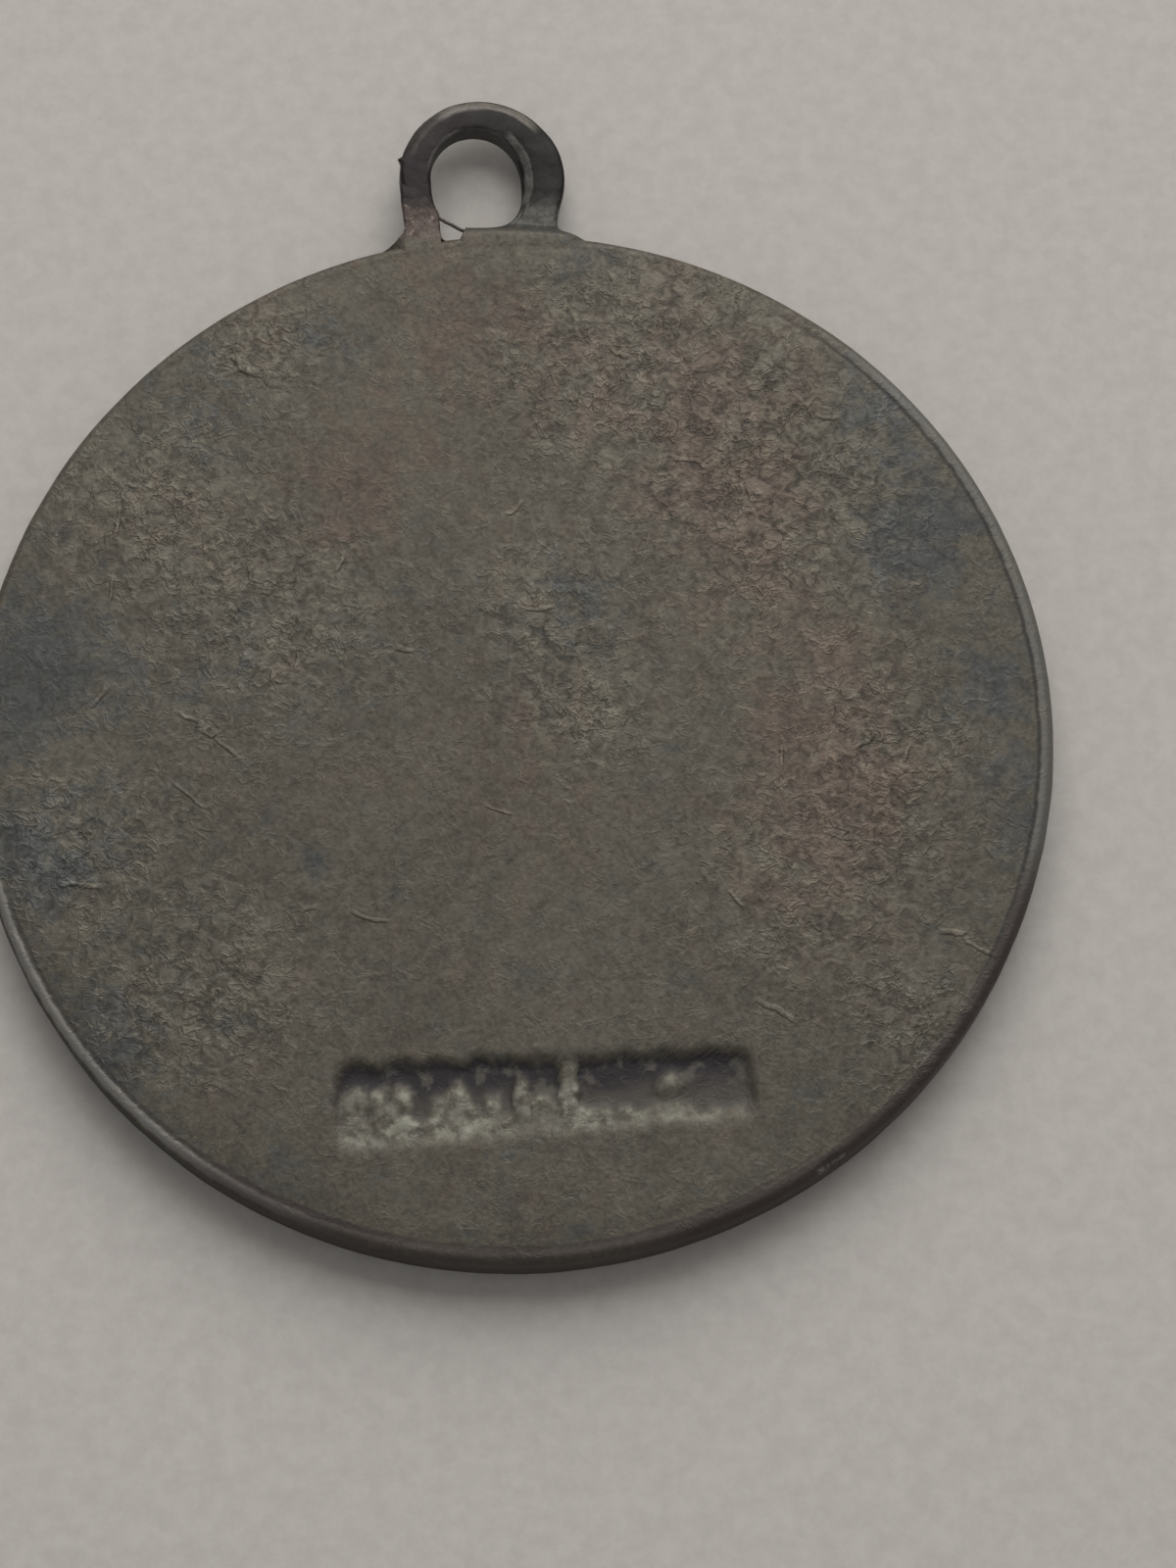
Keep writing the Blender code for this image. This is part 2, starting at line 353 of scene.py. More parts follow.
def disc_grid():
    """Points of the unit disc on a square grid whose square rings are bent into circles."""
    steps = np.arange(-DISC_RINGS, DISC_RINGS + 1)
    i, j = np.meshgrid(steps, steps, indexing="ij")
    wide = abs(i) >= abs(j)
    far = np.where(wide, i, j)
    near = np.where(wide, j, i)
    turn = np.pi / 4 * near / np.where(far == 0, 1, far)
    along = far * np.cos(turn) / DISC_RINGS
    aside = far * np.sin(turn) / DISC_RINGS
    return np.where(wide, along, aside), np.where(wide, aside, along)


def border(side):
    """Indices of a square grid's border, anticlockwise."""
    index = np.arange(side * side).reshape(side, side)
    right, top = index[-1, :-1], index[::-1, -1][:-1]
    left, bottom = index[0, ::-1][:-1], index[:-1, 0]
    return np.concatenate([right, top, left, bottom])


def crowd(x, y):
    """Draws the grid's points closer together at the cartouche, and leaves the border alone."""
    pull = np.exp(-((x - CARTOUCHE[0]) / 6.0) ** 2 - ((y - CARTOUCHE[1]) / 2.3) ** 2)
    pull *= 0.5 * (1 - ease(FACE_RADIUS - 2.4, FACE_RADIUS, np.hypot(x, y)))
    return x + pull * (CARTOUCHE[0] - x), y + pull * (CARTOUCHE[1] - y)


# Small dents in the reverse, from the disc's middle: x, y, size, depth.
DENTS = (
    (-9.4, 5.9, 0.16, 0.08), (-9.25, 4.65, 0.13, 0.07), (1.3, 0.15, 0.14, 0.07),
    (-5.8, -4.7, 0.13, 0.05), (0.45, 6.5, 0.3, 0.03), (-5.6, -3.6, 0.5, 0.015),
    (3.4, -6.4, 0.2, 0.02), (-7.0, 10.9, 0.3, 0.03), (8.9, -1.9, 0.3, 0.04),
    (9.6, -1.4, 0.25, 0.03), (6.3, 5.6, 0.3, 0.03), (-2.9, 2.5, 0.3, 0.02),
)


def reverse_relief(x, y):
    """Heights over the reverse, from its flat face down."""
    far = np.hypot(x, y)
    height = -0.012 * (1 + wander(x, y, 4.5, 1)) - 0.007 * (1 + wander(x, y, 1.3, 2))
    height -= 0.005 * (1 + wander(x, y, 0.45, 3))
    height -= 0.05 * ease(FACE_RADIUS - 1.0, FACE_RADIUS, far) ** 2
    for dent_x, dent_y, size, depth in DENTS:
        height -= depth * lump(x, y, (dent_x, dent_y), size)
    sunk, marks, pale = cartouche_relief(x, y)
    height = height * (1 - 0.6 * sunk) - CARTOUCHE_DEPTH * sunk * (1 - marks)
    return height, sunk, marks, pale


def cartouche_relief(x, y):
    """How far each point is sunk, how much a worn mark fills it, and how pale its crust and painted
    highlight are.
    """
    u, v = x - CARTOUCHE[0], y - CARTOUCHE[1]
    ragged = 0.17 * wander(x, y, 0.55, 5) + 0.10 * wander(x, y, 0.2, 6)
    half_width = CARTOUCHE_HALF_WIDTH - 0.03 * u
    across = np.maximum(abs(u) - CARTOUCHE_HALF_LENGTH + CARTOUCHE_CORNER, 0)
    down = np.maximum(abs(v - 0.01 * u) - half_width + CARTOUCHE_CORNER, 0)
    sunk = ease(0.14, -0.16, np.hypot(across, down) - CARTOUCHE_CORNER + ragged)
    marks = np.zeros_like(x)
    for number in range(MARK_COUNT):
        middle = (number - (MARK_COUNT - 1) / 2) * MARK_PITCH
        chance = [noise.noise(Vector((number * 1.37, row, 0.5))) for row in range(4)]
        tall = 0.66 if middle < BREAK_BAR else 0.3
        size_u = 0.36 + 0.2 * chance[0]
        size_v = tall * (1 + 0.5 * chance[1])
        lift = -0.36 if middle < BREAK_BAR else -0.6
        along = abs(u - middle - 0.3 * chance[2]) / size_u
        aside = abs(v - lift - 0.3 * chance[3]) / size_v
        inside = (along**2.6 + aside**2.6) ** (1 / 2.6)
        marks = np.maximum(marks, (0.75 + 0.6 * chance[3]) * ease(1.5, 0.55, inside + 2.2 * ragged))
    bead = np.hypot((u - 3.5) / 1.5, v - 0.2)
    marks = np.maximum(marks, 0.6 * ease(0.5, 0.1, bead + 1.8 * ragged))
    marks = np.maximum(marks, ease(0.38, 0.18, abs(u - BREAK_BAR + ragged)) * ease(1.2, 0.9, v))
    dust = 0.75 + 0.6 * wander(x, y, 0.6, 9)
    marks = np.maximum(marks, ease(-0.42, -0.8, v + 0.03 * u + 1.2 * ragged) * dust)
    marks = np.clip(marks * (0.95 + 0.5 * wander(x, y, 0.35, 7)), 0, 1)
    # Paleness is kept to the lower part of the recess: partly crust, partly a painted highlight where
    # light falls on the lower wall.
    low = ease(0.7, 0.1, v + 0.5 * ragged)
    pale = sunk * ease(0.2, 0.75, marks) * low * (0.85 + 0.5 * wander(x, y, 0.45, 8))
    return sunk, 0.7 * marks, np.clip(pale, 0, 1)


def wreath_relief(x, y):
    """Two laurel branches that rise from a boss at the foot, with their leaves in threes."""
    height = np.zeros_like(x)
    far = np.hypot(x, y)
    angle = np.degrees(np.arctan2(np.abs(x), -y))
    stem = ease(0.2, 0.05, abs(far - WREATH_RADIUS)) * ease(4, 9, angle) * ease(163, 158, angle)
    height = np.maximum(height, 0.1 * stem)
    for number in range(WREATH_TRIOS):
        start = math.radians(10 + 11.5 * number)
        for lean, length in ((-32, 1.9), (0, 2.2), (32, 1.9)):
            middle = start + math.radians(6.5)
            root_x = math.sin(middle) * WREATH_RADIUS
            root_y = -math.cos(middle) * WREATH_RADIUS
            heading = middle + math.radians(lean)
            along = (np.abs(x) - root_x) * math.cos(heading) + (y - root_y) * math.sin(heading)
            aside = -(np.abs(x) - root_x) * math.sin(heading) + (y - root_y) * math.cos(heading)
            share = np.clip(along / length, 0, 1)
            width = 0.46 * np.sin(np.pi * share**0.8) + 1e-6
            inside = np.clip(1 - (aside / width) ** 2, 0, 1) * (along > 0) * (along < length)
            vein = 0.05 * ease(0.09, 0.02, abs(aside)) * ease(0.02, 0.3, share) * ease(0.98, 0.7, share)
            leaf = (0.11 + 0.08 * share) * np.sqrt(inside) - vein * (inside > 0)
            height = np.maximum(height, leaf)
    height = np.maximum(height, 0.19 * ease(0.62, 0.42, np.hypot(x, y + WREATH_RADIUS)))
    return height


def obverse_relief(x, y):
    """Heights over the obverse: how far its surface lies inside the plane of the rim."""
    far = np.hypot(x, y)
    rim_inner = RADIUS - RIM_WIDTH
    field = ease(rim_inner, rim_inner - 0.25, far)
    bead = ease(0.16, 0.02, abs(far - (rim_inner - 0.75)))
    beads = bead * (0.5 + 0.5 * np.cos(BEAD_COUNT * np.arctan2(y, x)))
    panel = 0.1 * ease(PANEL_RADIUS + 0.15, PANEL_RADIUS - 0.1, far)
    line = 0.07 * ease(0.14, 0.04, abs(far - PANEL_RADIUS + 0.35))
    raised = np.maximum(wreath_relief(x, y), np.maximum(panel + line, 0.09 * beads))
    worn = 0.006 * (1 + wander(x, y, 1.5, 11))
    return FIELD_DEPTH * field - raised * field + worn


def edge_loops(angles):
    """Loops of points down the disc's edge, from the reverse's border to the obverse's."""
    loops = []
    sweep = list(range(90 - 15, -1, -15))
    profile = [(FACE_RADIUS + EDGE_ROUND * math.cos(math.radians(a)),
                THICKNESS - EDGE_ROUND + EDGE_ROUND * math.sin(math.radians(a)), a) for a in sweep]
    for step in range(1, WALL_RINGS + 1):
        drop = (THICKNESS - 2 * EDGE_ROUND) * step / (WALL_RINGS + 1)
        profile.append((RADIUS, THICKNESS - EDGE_ROUND - drop, 0))
    profile += [(r, THICKNESS - z, -a) for r, z, a in profile[:len(sweep)][::-1]]
    for radius, height, slope in profile:
        x, y = np.cos(angles) * radius, np.sin(angles) * radius
        wear = 0.012 * (1 + wander(x, y, 1.2, 21 + height))
        wear += 0.006 * (1 + wander(x, y, 0.35, 31 + height))
        nick = 0.1 * lump(x, y, NICK, 0.35) * (slope > 0)
        inward = (wear + nick) * math.cos(math.radians(slope))
        down = 0.05 * max(0, math.sin(math.radians(slope)))
        loops.append(np.stack([x * (1 - inward / radius), y * (1 - inward / radius),
                               np.full_like(x, height - down)], 1))
    return loops


# Broad patches of the reverse's patina: x, y, size, and warm (above 0) or cool (below 0).
PATCHES = (
    (-3.5, 8.7, 2.6, 0.6), (-1.4, 12.7, 2.6, 0.5), (2.8, 10.8, 3.0, 0.5), (6.5, 8.9, 2.6, 0.8),
    (6.9, 5.2, 2.4, 0.8), (8.6, 1.0, 2.3, 0.7), (9.0, -1.7, 2.2, 0.8), (8.6, -4.4, 2.8, 0.7),
    (0.2, -1.7, 2.6, 0.5), (-6.6, 12.2, 1.3, 0.6), (-4.5, 6.6, 1.7, 0.6), (5.7, 13.9, 1.1, 0.6),
    (-4.3, 11.8, 1.3, -0.9), (-8.1, 10.4, 1.6, -0.6), (11.7, 5.2, 2.0, -1.1), (10.9, 9.1, 1.4, -0.8),
    (-13.3, 2.5, 2.4, -1.0), (-12.9, -2.8, 2.1, -0.8), (13.8, -3.6, 1.6, -0.9), (13.2, 0.4, 1.6, -0.8),
    (-5.8, 6.6, 0.6, -0.9), (-5.6, -3.6, 0.5, -0.8), (-11.4, -8.0, 2.0, -0.6), (2.8, 13.9, 1.3, -0.7),
    (2.1, 3.5, 1.1, -0.4), (-6.8, -11.7, 1.1, -0.5), (-9.8, 7.3, 1.4, 0.3), (-8.4, 2.0, 2.0, -0.3),
)

# Where the reverse's crust is rough: x, y, size.
CRUSTS = (
    (8.0, 5.6, 3.6), (10.0, -1.3, 2.6), (6.8, 9.0, 3.2), (-9.8, 7.0, 2.8), (-6.6, 3.5, 2.8),
    (2.8, 10.8, 2.8), (-12.0, -3.0, 2.6), (8.0, -4.8, 2.8), (-8.6, -7.0, 2.4), (1.0, 3.4, 1.6),
    (2.0, 0.4, 1.8), (-6.6, 11.6, 1.6), (5.8, 13.0, 1.6), (10.6, -9.0, 1.6), (-10.5, -7.8, 1.2),
)


def set_patina(mesh, x, y):
    """Stores how warm or cool and how rough the patina is at these points, from the disc's middle."""
    tint = sum(amount * lump(x, y, (a, b), size) for a, b, size, amount in PATCHES)
    crust = 1 - np.prod([1 - 0.75 * lump(x, y, (a, b), size) for a, b, size in CRUSTS], axis=0)
    set_attribute(mesh, "tint", tint)
    set_attribute(mesh, "crust", crust)


def make_disc():
    side = 2 * DISC_RINGS + 1
    unit_x, unit_y = disc_grid()
    x, y = crowd(unit_x * FACE_RADIUS, unit_y * FACE_RADIUS)
    height, sunk, marks, pale = reverse_relief(x, y)
    back_x, back_y = unit_x * FACE_RADIUS, unit_y * FACE_RADIUS
    reverse = np.stack([x, y, THICKNESS + height], -1).reshape(-1, 3)
    obverse = np.stack([back_x, back_y, obverse_relief(back_x, back_y)], -1).reshape(-1, 3)
    rim = border(side)
    loops = edge_loops(np.arctan2(reverse[rim, 1], reverse[rim, 0]))
    points = np.concatenate([reverse, obverse, *loops])
    points[:, 1] += DISC_Y

    index = np.arange(side * side).reshape(side, side)
    quads = np.stack([index[:-1, :-1], index[1:, :-1], index[1:, 1:], index[:-1, 1:]], -1).reshape(-1, 4)
    faces = [quads, quads[:, ::-1] + side * side]
    starts = [2 * side * side + number * len(rim) for number in range(len(loops))]
    rings = [rim, *(start + np.arange(len(rim)) for start in starts), rim + side * side]
    for upper, lower in zip(rings[:-1], rings[1:]):
        faces.append(np.stack([upper, lower, np.roll(lower, -1), np.roll(upper, -1)], 1))

    mesh = bpy.data.meshes.new("struck_disc")
    mesh.from_pydata(points.tolist(), [], np.concatenate(faces).tolist())
    set_patina(mesh, points[:, 0], points[:, 1] - DISC_Y)
    spare = np.zeros(len(points) - side * side)
    along, across, near = scratch_places(x, y)
    for name, values in (("sunk", sunk), ("marks", marks), ("pale", pale),
                         ("scratch_along", along), ("scratch_across", across), ("scratch_near", near)):
        set_attribute(mesh, name, np.concatenate([values.ravel(), spare]))
    return finish_piece("struck_disc", mesh, disc_material(), "medal_disc")


# Scratches on the reverse: middle x and y, angle of the line, length, half width, bend radius.
SCRATCHES = (
    (-8.7, 0.6, -28, 1.4, 0.06, 6), (-8.1, 0.0, -38, 1.6, 0.05, -8), (-11.4, 1.5, 50, 0.9, 0.07, 1.2),
    (-12.0, -3.9, -8, 1.3, 0.06, 5), (-5.8, -4.85, 10, 0.4, 0.08, 2), (-4.2, -5.3, -20, 1.2, 0.05, 1.5),
    (11.7, -6.5, -10, 0.9, 0.08, -1.6), (12.3, -7.0, -32, 1.0, 0.05, 9), (6.7, -8.4, -33, 1.4, 0.07, 9),
    (5.8, -5.3, -52, 0.7, 0.05, 2), (-0.5, -2.4, -18, 0.9, 0.04, 7), (0.4, 6.4, 30, 0.7, 0.06, 0.5),
    (0.9, 3.4, 5, 1.0, 0.07, 2), (8.6, 3.9, 70, 0.6, 0.09, -1), (10.6, 6.7, 80, 0.4, 0.08, 2),
    (-7.1, 11.2, -30, 0.9, 0.1, 1), (-2.9, 2.4, -20, 0.6, 0.07, 1), (7.4, -1.3, 85, 0.7, 0.05, 3),
    (9.7, -1.0, 40, 0.8, 0.06, 2), (10.8, -1.4, 60, 0.6, 0.05, -2), (-9.0, -1.5, -40, 1.2, 0.04, 9),
    (3.6, 11.0, -35, 0.7, 0.06, 1.5), (5.3, 7.6, -12, 0.8, 0.06, 2), (9.4, 8.7, -8, 0.7, 0.06, 3),
    (-10.8, 6.6, 78, 1.1, 0.06, 2), (-11.0, 4.6, 80, 0.8, 0.05, 4), (-4.6, 5.0, 60, 0.5, 0.06, 1),
)


# Painted reflections and shade round the disc's edge, on a rim that is partly rubbed bright: light bands
# where it reflects the paper, dark shade lines and shaded sectors. Middle angle, half spread, from and
# to this far out, strength and colour.
RUBBED_REFLECTION = (0.19, 0.187, 0.170)
SHADE_LINE = (0.035, 0.033, 0.033)
RIM_REFLECTIONS_AND_SHADE = (
    (8, 52, 14.50, 14.60, 0.7, SHADE_LINE), (10, 42, 14.62, 15.1, 0.7, RUBBED_REFLECTION),
    (225, 34, 14.50, 14.62, 0.6, SHADE_LINE), (216, 34, 14.66, 14.90, 0.85, (0.27, 0.262, 0.245)),
    (225, 40, 14.95, 15.2, 0.8, SHADE_LINE), (312, 34, 14.60, 15.2, 0.75, (0.055, 0.040, 0.040)),
    (265, 38, 14.45, 15.2, 0.6, (0.060, 0.046, 0.044)),
)

# Colours of the ring's left and right, of the brown solder on the left and the grey on the right.
BLACK_LEFT = (0.021, 0.0155, 0.017)
BLACK_RIGHT = (0.013, 0.0125, 0.012)
BROWN_DARK = (0.060, 0.043, 0.037)
BROWN_PALE = (0.105, 0.082, 0.071)
BROWN_SPECK = (0.18, 0.14, 0.125)
BROWN_LINE = (0.028, 0.022, 0.020)
GREY_DARK = (0.062, 0.061, 0.054)
GREY_PALE = (0.092, 0.090, 0.077)

# Painted highlights on the ring's outer bevels, and painted light on its hole's inner right edge and top
# wall, given as for the disc's edge, from the ring's own centre and from its hole's.
RING_HIGHLIGHTS = (
    (122, 44, 2.02, 2.6, 0.7, (0.075, 0.068, 0.062)), (82, 46, 2.08, 2.34, 0.85, (0.17, 0.155, 0.135)),
)
HOLE_PAINTED_LIGHT = (
    (10, 44, 1.44, 1.66, 0.85, (0.15, 0.145, 0.135)), (96, 84, 1.10, 1.40, 0.7, (0.13, 0.125, 0.115)),
)


def scratch_places(x, y):
    """For each point, how far along and across it lies from its nearest scratch's middle.

    Both are in units of the scratch's own half length and half width, so the mark is where both
    are between -1 and 1. The third value fades to 0 half way to the next scratch.
    """
    nearest = np.full(x.shape, 9.0)
    along, across = np.full(x.shape, 9.0), np.full(x.shape, 9.0)
    for middle_x, middle_y, heading, length, half_width, bend in SCRATCHES:
        turn = math.radians(heading)
        ahead = (x - middle_x) * math.cos(turn) + (y - middle_y) * math.sin(turn)
        aside = (y - middle_y) * math.cos(turn) - (x - middle_x) * math.sin(turn)
        aside = aside - ahead**2 / (2 * bend)
        away = np.hypot(np.maximum(abs(ahead) - length / 2, 0), aside)
        closer = away < nearest
        nearest = np.where(closer, away, nearest)
        along = np.where(closer, ahead / (length / 2), along)
        across = np.where(closer, aside / half_width, across)
    return along, across, ease(0.5, 0.3, nearest)


def patina(m):
    """The weathered skin of the reverse. Returns its colour, and its relief from 0 to about 1.

    It reads the tint and crust that set_patina stores, so it runs on unbroken over the feet.
    """
    crust = m.attribute("crust")
    tint = m.math("ADD", m.attribute("tint"), m.ramp(m.noise(0.9, 5, 0.7), 0.25, 0.75, -0.6, 0.6))
    curd = m.noise(2.7, 4, 0.64, 0.7)
    grain = m.noise(8.0, 2, 0.6)
    rough = m.math("MULTIPLY_ADD", crust, 0.85, 0.3)
    path = m.math("ABSOLUTE", m.math("SUBTRACT", m.noise(2.2, 2, 0.5, 0.9), 0.5))
    worms = m.product(m.ramp(path, 0.0, 0.08, 1, 0), m.ramp(m.noise(1.5, 2), 0.42, 0.58), rough)
    blush = m.math("MULTIPLY_ADD", m.noise(1.9, 4, 0.7), 1.8, m.math("SUBTRACT", tint, 0.9))
    colour = m.mix(m.ramp(blush, 0.0, 1.3), BRONZE, WARM_BRONZE)
    colour = m.mix(m.ramp(blush, 0.0, -1.2), colour, COOL_BRONZE)
    level = m.ramp(m.noise(0.35, 4, 0.6), 0.3, 0.7, 0.92, 1.08)
    level = m.math("MULTIPLY_ADD", m.product(m.ramp(curd, 0.33, 0.67, -1, 1), rough), 0.4, level)
    level = m.math("MULTIPLY_ADD", m.math("SUBTRACT", grain, 0.5), 1.0, level)
    level = m.math("MULTIPLY_ADD", worms, 0.36, level)
    shaded = m.mix(1.0, colour, level, "MULTIPLY")
    clusters = m.product(m.ramp(m.noise(0.7, 3), 0.5, 0.62), m.ramp(crust, 0.2, 0.6))
    specks = m.product(m.ramp(m.noise(4.0, 3, 0.6, 0.5), 0.56, 0.66), clusters)
    shaded = m.mix(m.product(specks, 0.6), shaded, SPECK)
    relief = m.math("MULTIPLY_ADD", worms, 0.3, m.product(curd, rough))
    return shaded, m.math("MULTIPLY_ADD", grain, 0.08, relief)


def disc_material():
    m = Shader("patinated_bronze", METALLIC)
    flat = m.from_disc_middle()
    shaded, relief = patina(m)

    along = m.ramp(m.math("ABSOLUTE", m.attribute("scratch_along")), 0.5, 1.1, 1, 0)
    across = m.math("ADD", m.attribute("scratch_across"), m.ramp(m.noise(1.6, 2), 0.3, 0.7, -0.8, 0.8))
    beside = m.ramp(m.math("ABSOLUTE", across), 0.5, 1.6, 1, 0)
    scratch = m.product(along, beside, m.attribute("scratch_near"))
    # Painted light and shade: each scratch is lighter on one side and darker on the other.
    lit = m.product(scratch, m.ramp(across, -1.2, 0.6, -0.55, 1.0))
    shaded = m.mix(1.0, shaded, m.math("MULTIPLY_ADD", lit, 0.5, 1.0), "MULTIPLY")

    sunk, pale = m.attribute("sunk"), m.attribute("pale")
    shadow = m.ramp(m.attribute("marks"), 0.0, 0.45, 1, 0)
    # Painted shade mixed with dirt: the cartouche's floor darkens towards its upper wall, where shade
    # falls.
    upper = m.math("MULTIPLY_ADD", m.noise(1.7, 3), 0.9, m.axis(flat, "Y"))
    floor = m.mix(m.ramp(upper, CARTOUCHE[1] + 0.2, CARTOUCHE[1] + 1.0), SUNK_PALE_LIT, SUNK_DIRT_AND_SHADE)
    floor = m.mix(m.ramp(m.noise(2.2, 3), 0.5, 0.66), floor, SUNK_DUST)
    shaded = m.mix(m.product(sunk, shadow), shaded, floor)
    # Pale crust, partly a painted highlight on the lit lower part of the cartouche.
    crumbs = m.ramp(m.noise(2.6, 4, 0.65), 0.34, 0.62)
    crust_tone = m.mix(m.ramp(m.noise(1.3, 3), 0.4, 0.62), CRUST_DARK, CRUST_PALE)
    shaded = m.mix(m.product(pale, crumbs), shaded, crust_tone)

    ragged = m.math("MULTIPLY_ADD", m.noise(1.8, 3, 0.6), 0.14, -0.07)
    far = m.math("ADD", m.vector("LENGTH", flat), ragged)
    height = m.axis(m.place, "Z")
    # Painted shade: the disc's side wall is darkened below its rounded top edge.
    wall_shade = m.ramp(height, THICKNESS - 0.22, THICKNESS - 0.5)
    shaded = m.mix(m.product(wall_shade, 0.75), shaded, EDGE_WALL_SHADE)
    # Painted reflections and shade round the disc's edge.
    for angle, spread, start, end, strength, tone in RIM_REFLECTIONS_AND_SHADE:
        place = m.product(m.sector(flat, angle, spread), m.band(far, start, end, 0.035), strength)
        shaded = m.mix(place, shaded, tone)
    chips = m.product(m.sector(flat, NICK_TURN, 2.0), m.band(far, 14.88, 15.1, 0.06))
    chips = m.product(chips, m.ramp(m.noise(9.0), 0.3, 0.6))
    chips = m.product(chips, m.ramp(height, THICKNESS - 0.42, THICKNESS - 0.2))
    shaded = m.mix(chips, shaded, CHIPPED)

    m.put(m.surface.inputs["Base Color"], shaded)
    m.put(m.surface.inputs["Roughness"], m.ramp(relief, 0.1, 0.6, 0.62, 0.54))
    m.bump(m.math("MULTIPLY_ADD", scratch, 0.3, relief), BUMP_ON_DISC)
    return m.material


# ---------------------------------------------------------------- the eyelet and its solder

def ring_section(points):
    """A square with rounded corners: from inside (-1) to outside (1), and from back to front."""
    turn = np.linspace(0, 2 * np.pi, points, endpoint=False)
    return (np.sign(np.cos(turn)) * abs(np.cos(turn)) ** RING_ROUNDNESS,
            np.sign(np.sin(turn)) * abs(np.sin(turn)) ** RING_ROUNDNESS)


def hole_edge(turn):
    """Points of the hole's outline from the ring's centre, in the directions seen from its own."""
    low = np.sin(turn) < 0
    power = np.where(low, HOLE_SQUARENESS, 2)
    half_height = np.where(low, HOLE_HALF_HEIGHT + HOLE_SAG, HOLE_HALF_HEIGHT)
    wide, high = abs(np.cos(turn)) / HOLE_HALF_WIDTH, abs(np.sin(turn)) / half_height
    far = (wide**power + high**power) ** (-1 / power)
    return HOLE[0] + far * np.cos(turn), HOLE[1] + far * np.sin(turn)


# The strand between the void and the hole, from the ring's centre.
STRAND = (
    (-1.42, -1.18, 0.40), (-1.30, -1.34, 0.40), (-1.12, -1.47, 0.40), (-0.92, -1.59, 0.40),
    (-0.72, -1.73, 0.40), (-0.55, -1.82, 0.40),
)


def window(degrees, start, end, soft=12):
    """1 between two angles, with soft ends."""
    return ease(start - soft, start + soft, degrees) * ease(end + soft, end - soft, degrees)


def lap_on_disc(x, y, z, front, lower=0.0):
    """Brings a foot's front level with the reverse at the disc's edge, and sinks it further in.

    x, y and z are from the ring's centre. front is 1 on the foot's front and 0 on its back. The
    foot's two ends sink too, so that they run out on the disc's rounded edge.
    """
    far = np.hypot(x, y + RING_Y - DISC_Y)
    face = reverse_relief(x, y + RING_Y - DISC_Y)[0]
    step = 0.045 * ease(FACE_RADIUS - 0.4, FACE_RADIUS + 0.1, far) - 0.03
    ends = 0.42 * ease(2.3, 3.1, abs(x))
    wanted = THICKNESS + face + step - ends - lower - RING_Z
    return z + (wanted - z) * front * ease(RADIUS + 0.5, RADIUS - 0.05, far)


def make_eyelet():
    """A hand-filed oval ring, its foot fitted to the disc's edge, with a void under its left leg."""
    turn = np.linspace(0, 2 * np.pi, RING_TURNS, endpoint=False)[:, None]
    degrees = np.degrees(turn)
    across, depth = (part[None, :] for part in ring_section(RING_SIDES))
    outer_x, outer_y = RING_HALF_WIDTH * np.cos(turn), RING_HALF_HEIGHT * np.sin(turn)
    inner_x, inner_y = hole_edge(turn)
    heading = np.degrees(np.arctan2(inner_y, inner_x)) % 360
    reach = np.minimum(VOID_SIDE / abs(np.cos(np.radians(heading))), VOID_REACH)
    reach = reach * (heading > VOID_START) * ease(VOID_END + 1.5, VOID_END - 1.5, heading)
    grow = np.maximum(1, reach / np.hypot(inner_x, inner_y))
    share = (across + 1) / 2
    x = inner_x * grow + (outer_x - inner_x * grow) * share
    y = inner_y * grow + (outer_y - inner_y * grow) * share
    z = depth * RING_THICKNESS / 2
    front = np.clip(depth, 0, 1)
    outer_cut = 0.15 * window(degrees, 30, 116) + 0.22 * window(degrees, 118, 160)
    inner_cut = 0.19 * np.maximum(window(degrees, -40, 46), window(degrees, 320, 420))
    chamfer = outer_cut * np.clip((across - 0.38) / 0.62, 0, 1)
    chamfer = chamfer + inner_cut * np.clip((-0.5 - across) / 0.5, 0, 1)
    z = z - chamfer * front
    burr = np.exp(-((degrees - BURR_TURN) / 1.5) ** 2) * ease(0.6, 1, across) * ease(-0.4, 0.4, depth)
    x = x - BURR_LENGTH * burr
    swell = 0.02 * wander(x + 9 * z, y, 0.9, 41) + 0.01 * wander(x, y + 7 * z, 0.3, 42)
    x = x * (1 - 0.4 * abs(swell)) + RING_SHIFT
    y = y * (1 - 0.4 * abs(swell))
    z = z + swell * np.sign(depth)
    cos, sin = math.cos(RING_TWIST), math.sin(RING_TWIST)
    x, z = x * cos + z * sin, z * cos - x * sin
    z = lap_on_disc(x, y, z, ease(0.2, 0.9, depth), 0.08)
    points = np.stack([x, y + RING_Y, z + RING_Z], -1).reshape(-1, 3)
    index = np.arange(RING_TURNS * RING_SIDES).reshape(RING_TURNS, RING_SIDES)
    ahead, beside = np.roll(index, -1, 0), np.roll(index, -1, 1)
    faces = np.stack([index, ahead, np.roll(ahead, -1, 1), beside], -1).reshape(-1, 4).tolist()
    strand_points, strand_faces = tube(np.array(STRAND), 0.05, 10)
    faces += [[corner + len(points) for corner in face] for face in strand_faces]
    points = np.concatenate([points, strand_points + np.array([RING_SHIFT, RING_Y, RING_Z])])
    mesh = bpy.data.meshes.new("eyelet_ring")
    mesh.from_pydata(points.tolist(), [], faces)
    set_patina(mesh, points[:, 0], points[:, 1] - DISC_Y)
    metal = joint_material("blackened_ring")
    return finish_piece("eyelet_ring", mesh, metal, "suspension_eyelet")


